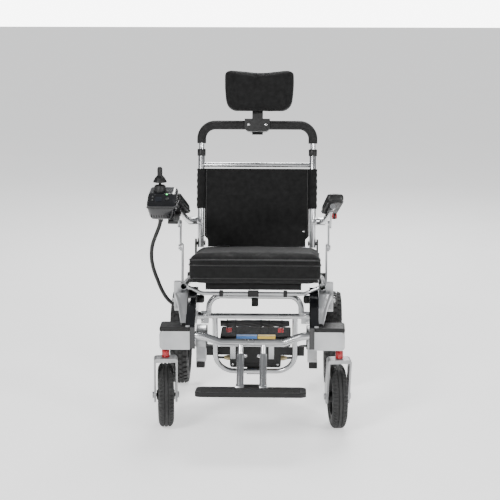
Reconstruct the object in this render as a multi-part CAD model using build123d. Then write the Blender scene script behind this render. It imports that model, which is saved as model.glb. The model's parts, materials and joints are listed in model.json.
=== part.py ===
from build123d import *
from math import atan, cos, degrees, radians, sin, tan
import os

# Power wheelchair, in millimetres. The sitter faces -Y and +Z is up.
# The chair's mid-plane is X = 0 while it is drawn; the sitter's left side is +X.
# Every node is moved by the same shift at the end, so that the origin of the
# files is the middle of the chair's footprint on the floor.

# floor contact
CASTER_R = 100.0
CASTER_WIDTH = 48.0
CASTER_TRAIL = 40.0
CASTER_YAW = 6.0
STEM_X = 268.0
STEM_Y = -40.0
WHEEL_R = 158.5
WHEEL_WIDTH = 60.0
WHEEL_X = 257.0
AXLE_Y = 490.0
AXLE_R = 8.0

# hub where the front legs, the rear legs and the seat frame meet
HUB_Y = 120.0
HUB_Z = 380.0
HUB_R = 38.0
HUB_BOLT_R = 8.0
HUB_KNOB_R = 11.5

# plates stacked along the hub, by the distance of their faces from the mid-plane
LEG_IN = 175.0
LEG_MID = 191.0
LEG_OUT = 203.5
REAR_LEG_IN = 205.0
REAR_LEG_OUT = 219.0
FLANGE_IN = 226.0
FLANGE_OUT = 250.0
LINK_IN = 232.5
LINK_OUT = 238.5

# seat plane, raked down to the rear
SEAT_RAKE = 8.5
SEAT_Y = 20.0
SEAT_Z = 455.0
RAIL_X = 215.0
RAIL_R = 11.0
CUSHION_DEPTH = 400.0
CUSHION_WIDTH = 430.0
CUSHION_THICK = 80.0
CUSHION_X = 5.0

# backrest, leaning back from its hinge
RECLINE = 13.0
BACK_Y = 452.0
BACK_Z = 492.0
BACK_X = 186.0
TUBE_R = 11.0
INNER_TUBE_R = 9.15
BACK_PIN_R = 6.0
SLEEVE_BORE_R = TUBE_R + 0.3
CROSSBAR_UP = 262.0
TUBE_TOP = 300.0
HANDLE_TOP = 395.0
HANDLE_BEND = 46.0
GRIP_R = 15.0
GRIP_FROM = 334.0
STEM_LOW = HANDLE_TOP - 30.0
ARM_PIVOT_UP = 74.0

# armrest linkage
LINK_Y = 194.4
LINK_Z = 531.9
LINK_PIN_R = 5.0
ARM_BAR_R = 9.0
ARM_TILT = 20.3
ARM_Y = BACK_Y + ARM_PIVOT_UP * sin(radians(RECLINE))
ARM_Z = BACK_Z + ARM_PIVOT_UP * cos(radians(RECLINE))
TOP_Y = LINK_Y + ARM_Y - BACK_Y
TOP_Z = LINK_Z + ARM_Z - BACK_Z
TOP_PIN_R = 4.6
LATCH_Z = TOP_Z + 27.0
LATCH_PIN_R = 3.0

# foot support
FOOT_X = 35.0
FOOT_Y = -60.0
FOOT_Z = 286.0
FOOT_LEAN = 33.5
FOOT_TUBE_R = 11.0
FOOT_ROD_R = 8.0
FOOT_DROP = 145.0
HINGE_Y = FOOT_Y - FOOT_DROP * sin(radians(FOOT_LEAN))
HINGE_Z = FOOT_Z - FOOT_DROP * cos(radians(FOOT_LEAN))
HINGE_PIN_R = 7.0
FOOTPLATE_TILT = 6.6

# tubes that join the rear legs
CROSS_Y = 256.0
CROSS_Z = 291.0
CROSS_R = 9.0
CRADLE_R = 8.5

# running clearance on a radius
RUN = 0.05

# hand control
STICK_X = -288.0
STICK_Y = 60.0
STICK_Z = 730.0
BUTTON_X = -262.0
BUTTON_Y = 2.0
BUTTON_Z = 720.7
BUTTON_R = 6.2
PANEL_TILT = 34.8


def box(x, y, z):
    """A block between three pairs of limits."""
    size = Box(x[1] - x[0], y[1] - y[0], z[1] - z[0])
    return Pos((x[0] + x[1]) / 2, (y[0] + y[1]) / 2, (z[0] + z[1]) / 2) * size


def rod_x(y, z, radius, x0, x1):
    """A round bar along X."""
    return Pos((x0 + x1) / 2, y, z) * Rot(0, 90, 0) * Cylinder(radius, x1 - x0)


def rod_z(x, y, radius, z0, z1):
    """A round bar along Z."""
    return Pos(x, y, (z0 + z1) / 2) * Cylinder(radius, z1 - z0)


def bar(points, bend, radius):
    """A round bar along a bent line."""
    path = FilletPolyline(*points, radius=bend) if bend else Polyline(*points)
    return sweep(Plane(origin=path @ 0, z_dir=path % 0) * Circle(radius), path=path)


def side_plate(points, x0, x1):
    """A plate cut to an outline of (Y, Z) points."""
    face = make_face(Polyline(*points, close=True))
    return extrude(Plane.YZ.offset(x0) * face, x1 - x0)


def ring_x(outline, x, y, z):
    """A body turned about an X axis from an outline of (across, radius) points."""
    face = make_face(Polyline(*outline, close=True))
    turned = revolve(Plane.XY * face, axis=Axis.X)
    return Pos(x, y, z) * turned


def seat(part):
    """Place a part drawn in the raked seat plane."""
    return Pos(0, SEAT_Y, SEAT_Z) * Rot(-SEAT_RAKE, 0, 0) * part


def back(part):
    """Place a part drawn along the backrest tubes, from their hinge."""
    return Pos(0, BACK_Y, BACK_Z) * Rot(-RECLINE, 0, 0) * part


def foot(part):
    """Place a part drawn down the footrest tubes, +Z pointing back up them."""
    return Pos(0, FOOT_Y, FOOT_Z) * Rot(-FOOT_LEAN, 0, 0) * part


def other(part):
    """The same part on the other side of the mid-plane."""
    return mirror(part, about=Plane.YZ)


def pair(part):
    """Both sides' parts as separate solids of one node."""
    return Compound([*part.solids(), *other(part).solids()])


# seat frame -----------------------------------------------------------------


def seat_frame_tubes():
    rail = Pos(RAIL_X, 230, -12) * Rot(90, 0, 0) * Cylinder(RAIL_R, 450)
    rail -= Pos(RAIL_X, 230, -12) * Rot(90, 0, 0) * Cylinder(RAIL_R - 2, 452)
    low = [(-206, 42, -16), (-160, 42, -36), (160, 42, -36), (206, 42, -16)]
    return seat(rail + other(rail) + bar(low, 30, 6))


def seat_sling():
    cloth = box((-203.6, 203.6), (62, 400), (-5, -0.6))
    apron = box((-150, 150), (52, 66), (-26, -0.6))
    return seat(cloth + apron)


def seat_cushion():
    half = CUSHION_WIDTH / 2
    pad = box((-half, half), (0, CUSHION_DEPTH), (0, CUSHION_THICK))
    pad = fillet(pad.edges().filter_by(Axis.Z), 34)
    pad = fillet(pad.edges().group_by(Axis.Z)[-1], 26)
    pad = fillet(pad.edges().group_by(Axis.Z)[0], 14)
    return seat(Pos(CUSHION_X, 0, 0) * pad)


def hub_flanges():
    neck = [(HUB_Y - 34, HUB_Z), (HUB_Y - 40, 444), (HUB_Y + 14, 436), (HUB_Y + 34, HUB_Z)]
    plate = side_plate(neck, FLANGE_IN, FLANGE_OUT) + rod_x(HUB_Y, HUB_Z, HUB_R, FLANGE_IN, FLANGE_OUT)
    drum = rod_x(HUB_Y, HUB_Z, HUB_R - 2, REAR_LEG_OUT + 0.5, FLANGE_IN)
    bore = rod_x(HUB_Y, HUB_Z, HUB_BOLT_R, 200, FLANGE_OUT + 10)
    return pair(plate + drum - bore)


def hub_bolts():
    """Each hub's pivot bolt, its hexagon head outside and its round knob inside."""
    shaft = rod_x(HUB_Y, HUB_Z, HUB_BOLT_R, LEG_IN - 0.4, FLANGE_OUT)
    head = Pos(FLANGE_OUT + 3.5, HUB_Y, HUB_Z) * Rot(0, 90, 0) * extrude(RegularPolygon(11, 6), 3.5, both=True)
    knob = rod_x(HUB_Y, HUB_Z, HUB_KNOB_R, LEG_IN - 17, LEG_IN - 0.4)
    return pair(shaft + head + fillet(knob.edges(), 3))


def back_brackets():
    block = box((198.5, 230), (404, 440), (-26, 2))
    block -= Pos(RAIL_X, 422, -12) * Rot(90, 0, 0) * Cylinder(RAIL_R, 60)
    block = seat(block)
    plate = seat(box((199.5, 205.5), (407, 437), (0, 100)))
    plate += rod_x(BACK_Y, BACK_Z, 15, 199.5, 205.5)
    pin = rod_x(BACK_Y, BACK_Z, BACK_PIN_R, 173, 199.5) + rod_x(BACK_Y, BACK_Z, 9, 171, 173.9)
    return pair(block + plate + pin)


def arm_posts():
    plate = seat(box((226, 232), (148, 174), (-24, 100)))
    plate += rod_x(LINK_Y, LINK_Z, 13, 226, 232)
    pin = rod_x(LINK_Y, LINK_Z, LINK_PIN_R, 232, 239) + rod_x(LINK_Y, LINK_Z, 8, 238.8, 242)
    return pair(plate + pin)


# front frame ----------------------------------------------------------------


def leg_outline():
    high, low = HUB_Z + HUB_R, HUB_Z - HUB_R
    edges = ThreePointArc((HUB_Y, high), (24, 398), (-72, 337))
    edges += Line((-72, 337), (-72, 268))
    edges += ThreePointArc((-72, 268), (30, 322), (HUB_Y, low))
    edges += Line((HUB_Y, low), (HUB_Y, high))
    return make_face(edges)


def leg_plate(x0, x1):
    """A curved leg with its round eye on the hub."""
    leg = extrude(Plane.YZ.offset(x0) * leg_outline(), x1 - x0)
    leg += rod_x(HUB_Y, HUB_Z, HUB_R, x0, x1)
    return leg - rod_x(HUB_Y, HUB_Z, HUB_BOLT_R + RUN, x0 - 1, x1 + 1)


def front_legs():
    """Each leg's outer plate with the caster box welded to its lower end."""
    house = box((LEG_MID, 284), (-78, 2), (267, 325))
    house = fillet(house.edges().filter_by(Axis.Y).sort_by(Axis.X)[-2:], 12)
    plate = leg_plate(LEG_MID, LEG_OUT) - box((180, 210), (-90, 2), (200, 337.1))
    leg = plate + house
    return pair(leg - rod_z(STEM_X, STEM_Y, HUB_BOLT_R + RUN, 260, 330))


def leg_inlays():
    return pair(leg_plate(LEG_IN, LEG_MID))


def housing_caps():
    cap = box((191.2, 284), (-78, 1.8), (325, 337))
    cap = fillet(cap.edges().filter_by(Axis.Z), 8)
    cap = fillet(cap.edges().group_by(Axis.Z)[-1], 5)
    return pair(cap)


def caster_collars():
    collar = rod_z(STEM_X, STEM_Y, 12, 234, 256) + rod_z(STEM_X, STEM_Y, 10, 256, 267)
    return pair(collar - rod_z(STEM_X, STEM_Y, HUB_BOLT_R + RUN, 230, 270))


def footrest_crossbar():
    y = FOOT_Y
    line = [(-190, y, 311), (-150, y, 306), (-96, y, FOOT_Z)]
    line += [(96, y, FOOT_Z), (150, y, 306), (190, y, 311)]
    tube = bar(line, 22, 12) & box((-175, 175), (y - 20, y + 20), (250, 340))
    for x in (-59, 59):
        tube += box((x - 8, x + 8), (y - 7, y + 7), (236, 280))
    for x in (-FOOT_X, FOOT_X):
        tube += foot(rod_z(x, 0, FOOT_ROD_R, -104, 0))
    return tube


# footrest -------------------------------------------------------------------


def footrest_tubes():
    tubes = foot(rod_z(FOOT_X, 0, FOOT_TUBE_R, -FOOT_DROP, -38))
    tubes += foot(rod_z(-FOOT_X, 0, FOOT_TUBE_R, -FOOT_DROP, -38))
    for x in (-FOOT_X, FOOT_X):
        tubes -= foot(rod_z(x, 0, FOOT_ROD_R + RUN, -FOOT_DROP + 12, -30))
        tubes += rod_x(HINGE_Y, HINGE_Z, 12, x - 12, x + 12)
    return tubes + rod_x(HINGE_Y, HINGE_Z, HINGE_PIN_R, -46, 46)


def footplate():
    plate = box((-166, 166), (-124, -16), (-7, 7))
    plate = fillet(plate.edges().filter_by(Axis.Z), 22)
    plate = fillet(plate.edges().group_by(Axis.Z)[-1], 3)
    plate -= box((22.5, 48), (-40, 0), (-10, 10)) + box((-48, -22.5), (-40, 0), (-10, 10))
    plate += rod_x(0, 0, 12, -22.5, 22.5) + box((-22.5, 22.5), (-20, 0), (-7, 7))
    plate -= rod_x(0, 0, HINGE_PIN_R + RUN, -30, 30)
    return Pos(0, HINGE_Y, HINGE_Z) * Rot(-FOOTPLATE_TILT, 0, 0) * plate


# casters --------------------------------------------------------------------


def caster_fork():
    """Fork and stem, drawn about the stem with the wheel trailing along +Y."""
    crown = box((-36.5, 36.5), (-24, 24), (221, 233))
    crown = fillet(crown.edges().filter_by(Axis.Y).sort_by(Axis.Z)[-2:], 9)
    outline = [(-24, 224), (24, 224), (66, 112), (62, 82), (44, 74), (22, 82), (12, 108)]
    leg = side_plate(outline, 30.5, 36.5)
    stem = rod_z(0, 0, HUB_BOLT_R, 226, 318)
    fork = crown + leg + other(leg) + stem
    fork = fork - rod_x(CASTER_TRAIL, CASTER_R, 6, -50, 50)
    bolt = rod_x(CASTER_TRAIL, CASTER_R, 6, -36.5, 36.5)
    bolt += rod_x(CASTER_TRAIL, CASTER_R, 10, -42, -36.5) + rod_x(CASTER_TRAIL, CASTER_R, 10, 36.5, 42)
    return Compound([*fork.solids(), *bolt.solids()])


def caster_rim():
    half = CASTER_WIDTH / 2
    outline = [(-28, 6 + RUN), (-28, 15), (-8, 20), (-6, 54), (-half + 4, 58), (-half + 4, 66)]
    outline += [(half - 4, 66), (half - 4, 58), (6, 54), (8, 20), (28, 15), (28, 6 + RUN)]
    return ring_x(outline, 0, CASTER_TRAIL, CASTER_R)


def caster_tyre():
    half = CASTER_WIDTH / 2
    outline = [(-half + 4, 66), (-half, 74), (-half, 86), (-half + 6, 95), (-12, 100)]
    outline += [(12, 100), (half - 6, 95), (half, 86), (half, 74), (half - 4, 66)]
    return ring_x(outline, 0, CASTER_TRAIL, CASTER_R)


def caster(side, part):
    """Place a caster part under one caster box, slewed as the casters stand."""
    return Pos(side * STEM_X, STEM_Y, 0) * Rot(0, 0, CASTER_YAW) * part


# rear frame -----------------------------------------------------------------


def rear_legs():
    run = Polyline((HUB_Y, HUB_Z), (AXLE_Y, WHEEL_R))
    length = run.length
    tilt = degrees(atan((HUB_Z - WHEEL_R) / (AXLE_Y - HUB_Y)))
    leg = box((REAR_LEG_IN, REAR_LEG_OUT), (0, length), (-24, 24))
    leg = Pos(0, HUB_Y, HUB_Z) * Rot(-tilt, 0, 0) * leg
    leg += rod_x(HUB_Y, HUB_Z, HUB_R - 3, REAR_LEG_IN, REAR_LEG_OUT)
    leg += rod_x(AXLE_Y, WHEEL_R, 34, REAR_LEG_IN, REAR_LEG_OUT)
    leg -= rod_x(HUB_Y, HUB_Z, HUB_BOLT_R + RUN, 200, 225)
    leg -= rod_x(AXLE_Y, WHEEL_R, AXLE_R + RUN, 200, 225)
    return pair(leg)


def motor_housings():
    drum = rod_x(AXLE_Y, WHEEL_R, 42, 172, REAR_LEG_IN)
    base = box((172, REAR_LEG_IN), (AXLE_Y - 32, AXLE_Y + 32), (76, WHEEL_R))
    base = fillet(base.edges().filter_by(Axis.X).sort_by(Axis.Z)[:2], 14)
    house = drum + base - rod_x(AXLE_Y, WHEEL_R, 36, 170, 199)
    return pair(house - rod_x(AXLE_Y, WHEEL_R, AXLE_R + RUN, 190, 210))


def drive_motors():
    motor = rod_x(AXLE_Y, WHEEL_R, 35.6, 172, 198.6) + rod_x(AXLE_Y, WHEEL_R, 41, 168, 172)
    return pair(motor - rod_x(AXLE_Y, WHEEL_R, AXLE_R + RUN, 178, 200))


def rubber_feet():
    pad = box((177, 206), (AXLE_Y - 16, AXLE_Y + 16), (53, 76))
    return pair(fillet(pad.edges().filter_by(Axis.Z), 4))


def rear_tube_frame():
    tube = rod_x(CROSS_Y, CROSS_Z, CROSS_R, -204.8, 204.8)
    for side in (-1, 1):
        low, high = sorted((side * 166, side * 204.8))
        tube += rod_x(CROSS_Y, CROSS_Z, 13, low, high)
    y = CROSS_Y
    arch = [(-150, y, CROSS_Z), (-150, y + 4, 357), (150, y + 4, 357), (150, y, CROSS_Z)]
    tube += bar(arch, 40, CROSS_R)
    cradle = [(-130, y, CROSS_Z), (-130, 290, 96), (130, 290, 96), (130, y, CROSS_Z)]
    return tube + bar(cradle, 60, CRADLE_R)


def power_box():
    case = box((-84, 84), (302, 396), (105, 175))
    case = fillet(case.edges().filter_by(Axis.Y), 8)
    case += box((-152, 152), (299, 303), (148, 175))
    case += rod_x(330, 130, 7, -96, 96)
    return case + box((-28, 28), (306, 360), (80, 108))


def cable_bundle():
    roll = rod_x(CROSS_Y, 266, 14, -116, 116)
    return fillet(roll.edges(), 8)


def cable_connectors():
    parts = []
    for x in (-84, 84):
        parts += box((x - 9, x + 9), (248, 262), (238, 251.8)).solids()
    return Compound(parts)


def battery_pack():
    pack = box((-116, 116), (300, 426), (176, 211))
    return fillet(pack.edges().filter_by(Axis.Y), 6)


# rear wheels ----------------------------------------------------------------


def rear_rim():
    outline = [(-30, 16), (-28, 30), (-12, 40), (-9, 96), (-22, 102), (-22, 112)]
    outline += [(22, 112), (22, 102), (9, 96), (12, 40), (26, 30), (28, 16)]
    outline += [(28, 0), (-78, 0), (-78, AXLE_R), (-30, AXLE_R)]
    return ring_x(outline, WHEEL_X, AXLE_Y, WHEEL_R)


def rear_tyre():
    half = WHEEL_WIDTH / 2
    outline = [(-22, 112), (-half + 2, 120), (-half, 136), (-half + 5, 149), (-18, 156.5), (-8, WHEEL_R)]
    outline += [(8, WHEEL_R), (18, 156.5), (half - 5, 149), (half, 136), (half - 2, 120), (22, 112)]
    return ring_x(outline, WHEEL_X, AXLE_Y, WHEEL_R)


# backrest -------------------------------------------------------------------


def backrest_frame():
    tube = rod_z(BACK_X, 0, TUBE_R, -14, TUBE_TOP) - rod_z(BACK_X, 0, TUBE_R - 1.8, 100, TUBE_TOP + 2)
    tube -= rod_x(0, 0, BACK_PIN_R + RUN, BACK_X - 20, BACK_X + 20)
    tube += rod_x(0, ARM_PIVOT_UP, BACK_PIN_R, BACK_X + 9, 232) + rod_x(0, ARM_PIVOT_UP, 9, 229.6, 233)
    tube += rod_x(0, ARM_PIVOT_UP, 12, BACK_X, BACK_X + 13)
    return back(tube + other(tube) + rod_x(0, CROSSBAR_UP, 8, -BACK_X + 9.6, BACK_X - 9.6))


def backrest_fabric():
    panel = box((-175, 175), (-4, 4), (18, 250)) + box((-164, 164), (-4, 4), (-12, 18))
    sleeve = rod_z(BACK_X, 0, 15.5, 116, 248) - rod_z(BACK_X, 0, SLEEVE_BORE_R, 100, 260)
    panel = panel - rod_z(BACK_X, 0, SLEEVE_BORE_R, 0, 260)
    panel = panel - other(rod_z(BACK_X, 0, SLEEVE_BORE_R, 0, 260))
    return back(panel + sleeve + other(sleeve))


def tube_collars():
    collar = rod_z(BACK_X, 0, 14, 292, 314)
    collar -= rod_z(BACK_X, 0, TUBE_R, 280, 300)
    collar -= rod_z(BACK_X, 0, INNER_TUBE_R + RUN, 290, 320)
    return back(pair(collar))


def lap_belt():
    strap = box((-150, 150), (374, 398), (84, 86))
    buckle = box((-132, -66), (366, 392), (86, 95))
    return seat(strap + buckle)


def handle_line():
    top = HANDLE_TOP
    return [(-BACK_X, 0, 150), (-BACK_X, 0, top), (BACK_X, 0, top), (BACK_X, 0, 150)]


def push_handle():
    return back(bar(handle_line(), HANDLE_BEND, INNER_TUBE_R))


def handle_grip():
    line = [(x, y, max(z, GRIP_FROM)) for x, y, z in handle_line()]
    return back(bar(line, HANDLE_BEND, GRIP_R) - bar(handle_line(), HANDLE_BEND, INNER_TUBE_R))


def headrest_clamp():
    """A saddle over the handle with a flat sleeve behind it for the stem."""
    block = box((-42, 42), (-19, 19), (HANDLE_TOP - 22, HANDLE_TOP + 20))
    block = fillet(block.edges().filter_by(Axis.Y).sort_by(Axis.Z)[:2], 16)
    block += box((-24, 24), (15, 33), (HANDLE_TOP - 22, HANDLE_TOP + 20))
    block -= rod_x(0, HANDLE_TOP, GRIP_R, -60, 60)
    return back(block - box((-18, 18), (20, 28), (300, 420)))


def headrest_stem():
    return back(box((-17.95, 17.95), (20.05, 27.95), (STEM_LOW, HANDLE_TOP + 150)))


def headrest_pad():
    low = HANDLE_TOP + 42
    pad = box((-115, 127), (-32, 20), (low, low + 144))
    pad = fillet(pad.edges().filter_by(Axis.Y).sort_by(Axis.Z)[:2], 46)
    pad = fillet(pad.edges().filter_by(Axis.Y).sort_by(Axis.Z)[-2:], 22)
    return back(fillet(pad.edges().group_by(Axis.Y)[0], 14))


# armrests -------------------------------------------------------------------


def arm_bar():
    line = [(216, ARM_Y, ARM_Z), (226, 425, 573), (247, 150, 674)]
    tube = bar(line, 60, ARM_BAR_R) + rod_x(ARM_Y, ARM_Z, 13, 199.4, 229.4)
    tube -= rod_x(ARM_Y, ARM_Z, BACK_PIN_R + RUN, 190, 250)
    tube += box((239, 245), (TOP_Y - 12, TOP_Y + 12), (TOP_Z, 652))
    tube += rod_x(TOP_Y, TOP_Z, 12, 239, 245) + rod_x(TOP_Y, TOP_Z, TOP_PIN_R, LINK_IN + 0.1, 239)
    return tube - rod_x(TOP_Y, LATCH_Z, LATCH_PIN_R + RUN, 230, 250)


def arm_pad():
    pad = box((-29, 29), (-115, 115), (0, 30))
    pad = fillet(pad.edges().filter_by(Axis.Z), 20)
    pad = fillet(pad.edges().group_by(Axis.Z)[-1], 11)
    return Pos(247, 253, 647) * Rot(-ARM_TILT, 0, 0) * Rot(0, 0, 4.3) * pad


def arm_link():
    dy, dz = TOP_Y - LINK_Y, TOP_Z - LINK_Z
    tilt = degrees(atan(dy / dz))
    strap = Pos(0, LINK_Y, LINK_Z) * Rot(-tilt, 0, 0) * box((LINK_IN, LINK_OUT), (-8, 8), (0, ARM_PIVOT_UP))
    strap += rod_x(LINK_Y, LINK_Z, 12, LINK_IN, LINK_OUT) + rod_x(TOP_Y, TOP_Z, 12, LINK_IN, LINK_OUT)
    strap -= rod_x(LINK_Y, LINK_Z, LINK_PIN_R + RUN, 230, 245)
    return strap - rod_x(TOP_Y, TOP_Z, LINK_PIN_R + 0.1, 230, 245)


def latch_knob():
    knob = rod_x(TOP_Y, LATCH_Z, 9, 246, 262)
    knob = fillet(knob.edges().group_by(Axis.X)[-1], 3)
    return knob + rod_x(TOP_Y, LATCH_Z, LATCH_PIN_R, 239, 246)


# hand control ---------------------------------------------------------------


def controller_bracket():
    """A flat bar under the hand control, saddled to the right armrest bar."""
    saddle = box((-262, -232), (156, 190), (640, 664))
    saddle -= other(bar([(226, 425, 573), (247, 150, 674)], 0, ARM_BAR_R))
    plate = box((-262, -232), (20, 190), (640, 648))
    return plate + saddle + box((-262, -245), (30, 90), (648, 657))


def controller_case():
    top = [(-22, 690), (-22, 704), (24, 736), (100, 742), (118, 736), (122, 690)]
    upper = side_plate(top, -337, -237)
    upper = fillet(upper.edges().filter_by(Axis.X).sort_by(Axis.Z)[-4:], 5)
    lower = side_plate([(-18, 690), (0, 657), (104, 657), (118, 690)], -329, -245)
    case = upper + lower
    case -= rod_z(STICK_X, STICK_Y, 20, 733, 760)
    case -= rod_z(STICK_X, STICK_Y, 14, 700, 740)
    return case - button_hole()


def on_panel(part):
    """Place a part on the sloping panel in front of the joystick."""
    return Pos(BUTTON_X, BUTTON_Y, BUTTON_Z) * Rot(PANEL_TILT, 0, 0) * part


def button_hole():
    return on_panel(rod_z(0, 0, BUTTON_R + 0.1, -5, 10))


def power_button():
    cap = rod_z(0, 0, BUTTON_R, -2.4, 2)
    return on_panel(fillet(cap.edges().group_by(Axis.Z)[-1], 0.8))


def controller_display():
    pane = box((-10, 10), (-9, 9), (0.05, 1.2))
    return Pos(-26, 0, 0) * on_panel(fillet(pane.edges().filter_by(Axis.Z), 2))


def joystick_gimbal():
    ring = Pos(STICK_X, STICK_Y, STICK_Z) * Cylinder(13, 8)
    ring -= Pos(STICK_X, STICK_Y, STICK_Z) * Cylinder(9, 10)
    return ring


def joystick_stick():
    ball = Pos(STICK_X, STICK_Y, STICK_Z) * Sphere(8)
    shaft = rod_z(STICK_X, STICK_Y, 4, STICK_Z, 785)
    outline = [(0, 764), (21, 764), (21, 767), (14, 779), (8, 785), (8, 806), (5, 811), (0, 811)]
    bell = revolve(Plane.XZ * make_face(Polyline(*outline, close=True)), axis=Axis.Z)
    return ball + shaft + Pos(STICK_X, STICK_Y, 0) * bell


def joystick_bellows():
    outline = [(14.5, 733), (19.9, 733), (19.9, 744), (21, 746), (18, 749), (19, 752), (16, 755), (14.5, 755)]
    boot = revolve(Plane.XZ * make_face(Polyline(*outline, close=True)), axis=Axis.Z)
    return Pos(STICK_X, STICK_Y, 0) * boot


# leads and export -----------------------------------------------------------


def cord(points, radius):
    """A hanging lead: straight runs joined by large arcs."""
    line = [Vector(*p) for p in points]
    radii = []
    for a, b, c in zip(line, line[1:], line[2:]):
        turn = radians((b - a).get_angle(c - b))
        radii.append(0.45 * min((b - a).length, (c - b).length) / tan(turn / 2))
    path = FilletPolyline(*line, radius=radii)
    print("cord length", round(path.length, 1), "least radius", round(min(radii), 1))
    return sweep(Plane(origin=path @ 0, z_dir=path % 0) * Circle(radius), path=path)


def controller_cable():
    line = [(-290, 96, 657), (-290, 96, 630), (-304, 102, 594), (-320, 112, 554)]
    line += [(-324, 126, 508), (-317, 141, 466), (-306, 156, 430), (-296, 168, 398)]
    line += [(-281, 180, 367), (-262, 190, 346), (-240, 196, 336), (-219.2, 196, 336)]
    return cord(line, 6)


def motor_cable(side):
    """One motor lead, from its gland on the power box to the drive motor."""
    line = [(96, 330, 130), (112, 330, 130), (126, 338, 129), (134, 352, 127)]
    line += [(136, 382, 122), (134, 412, 121), (130, 444, 128), (138, 458, 132)]
    line += [(152, 466, 135), (168, 466, 135)]
    return cord([(side * x, y, z) for x, y, z in line], 4)


LEADS = ("controller_cable", "motor_cable_left", "motor_cable_right")


def build():
    nodes = {
        "seat_frame_tubes": seat_frame_tubes(),
        "seat_sling": seat_sling(),
        "seat_cushion": seat_cushion(),
        "hub_flanges": hub_flanges(),
        "hub_bolts": hub_bolts(),
        "back_brackets": back_brackets(),
        "arm_posts": arm_posts(),
        "front_legs": front_legs(),
        "leg_inlays": leg_inlays(),
        "housing_caps": housing_caps(),
        "caster_collars": caster_collars(),
        "footrest_crossbar": footrest_crossbar(),
        "footrest_tubes": footrest_tubes(),
        "footplate": footplate(),
        "rear_legs": rear_legs(),
        "motor_housings": motor_housings(),
        "drive_motors": drive_motors(),
        "rubber_feet": rubber_feet(),
        "rear_tube_frame": rear_tube_frame(),
        "power_box": power_box(),
        "cable_bundle": cable_bundle(),
        "cable_connectors": cable_connectors(),
        "battery_pack": battery_pack(),
        "backrest_frame": backrest_frame(),
        "backrest_fabric": backrest_fabric(),
        "tube_collars": tube_collars(),
        "lap_belt": lap_belt(),
        "push_handle": push_handle(),
        "handle_grip": handle_grip(),
        "headrest_clamp": headrest_clamp(),
        "headrest_stem": headrest_stem(),
        "headrest_pad": headrest_pad(),
        "controller_bracket": controller_bracket(),
        "controller_case": controller_case(),
        "controller_display": controller_display(),
        "power_button": power_button(),
        "joystick_gimbal": joystick_gimbal(),
        "joystick_stick": joystick_stick(),
        "joystick_bellows": joystick_bellows(),
        "controller_cable": controller_cable(),
    }
    for name, side in (("left", 1), ("right", -1)):
        nodes["caster_fork_" + name] = caster(side, caster_fork())
        nodes["caster_rim_" + name] = caster(side, caster_rim())
        nodes["caster_tyre_" + name] = caster(side, caster_tyre())
        nodes["motor_cable_" + name] = motor_cable(side)
    handed = {
        "rear_rim": rear_rim,
        "rear_tyre": rear_tyre,
        "arm_bar": arm_bar,
        "arm_pad": arm_pad,
        "arm_link": arm_link,
        "latch_knob": latch_knob,
    }
    for name, make in handed.items():
        part = make()
        nodes[name + "_left"] = part
        nodes[name + "_right"] = other(part)
    return nodes


def main():
    os.makedirs("parts", exist_ok=True)
    nodes = build()
    boxes = [part.bounding_box() for name, part in nodes.items() if name not in LEADS]
    middle = [(min(b.min.X for b in boxes) + max(b.max.X for b in boxes)) / 2]
    middle.append((min(b.min.Y for b in boxes) + max(b.max.Y for b in boxes)) / 2)
    print("footprint middle", [round(v, 4) for v in middle], len(nodes), "nodes")
    for name, part in nodes.items():
        solids = [Pos(-middle[0], -middle[1], 0) * solid for solid in part.solids()]
        export_step(solids[0] if len(solids) == 1 else Compound(solids), f"parts/{name}.step")


main()
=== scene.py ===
import bmesh
import bpy
import json
from math import atan2, cos, pi, radians, sin, sqrt
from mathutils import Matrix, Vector, noise
from mathutils.bvhtree import BVHTree


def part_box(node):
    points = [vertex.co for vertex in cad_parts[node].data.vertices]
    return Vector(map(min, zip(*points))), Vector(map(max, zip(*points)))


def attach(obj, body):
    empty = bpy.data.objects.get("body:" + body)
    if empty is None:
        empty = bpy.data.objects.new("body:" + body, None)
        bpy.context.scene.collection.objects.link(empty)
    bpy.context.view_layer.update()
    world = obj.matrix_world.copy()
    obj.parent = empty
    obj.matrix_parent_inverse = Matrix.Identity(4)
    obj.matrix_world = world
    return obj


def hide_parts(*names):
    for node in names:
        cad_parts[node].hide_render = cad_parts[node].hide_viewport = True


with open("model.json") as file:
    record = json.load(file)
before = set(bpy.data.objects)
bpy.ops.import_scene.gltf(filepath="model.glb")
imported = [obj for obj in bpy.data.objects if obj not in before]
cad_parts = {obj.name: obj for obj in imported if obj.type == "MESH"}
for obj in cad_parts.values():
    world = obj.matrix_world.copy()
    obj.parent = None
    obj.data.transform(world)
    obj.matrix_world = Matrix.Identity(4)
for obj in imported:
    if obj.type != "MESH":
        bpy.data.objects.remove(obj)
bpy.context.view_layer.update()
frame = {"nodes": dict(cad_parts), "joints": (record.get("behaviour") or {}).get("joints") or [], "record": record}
JOINTS = {joint["name"]: joint for joint in frame["joints"]}
HUB = Vector(JOINTS["frame_fold"]["pos_m"])
BACK_HINGE = Vector(JOINTS["backrest_fold"]["pos_m"])
STICK = Vector(JOINTS["joystick_pitch"]["pos_m"])

# The chair's drawing frame, in millimetres: X from the mid-plane, Y and Z from the hub's known place.
HUB_Y, HUB_Z = 120.0, 380.0
SEAT_Y, SEAT_Z, SEAT_RAKE = 20.0, 455.0, radians(8.5)
RECLINE = radians(13.0)
BACK_X = 186.0
HANDLE_TOP = 395.0
ARM_TILT = radians(20.3)
MM = 0.001
WELD, FINE_WELD = 1e-6, 1e-7
CLOTH_THICK = 1.6


def chair(x, y, z):
    """A point of the drawing frame, in metres in the shared frame."""
    return Vector((HUB.x + x * MM, HUB.y + (y - HUB_Y) * MM, z * MM))


def turned(angle, x, y, z):
    return x, y * cos(angle) + z * sin(angle), z * cos(angle) - y * sin(angle)


def seat(x, y, z):
    """A point of the raked seat plane."""
    a, b, c = turned(SEAT_RAKE, x, y, z)
    return chair(a, SEAT_Y + b, SEAT_Z + c)


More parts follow.
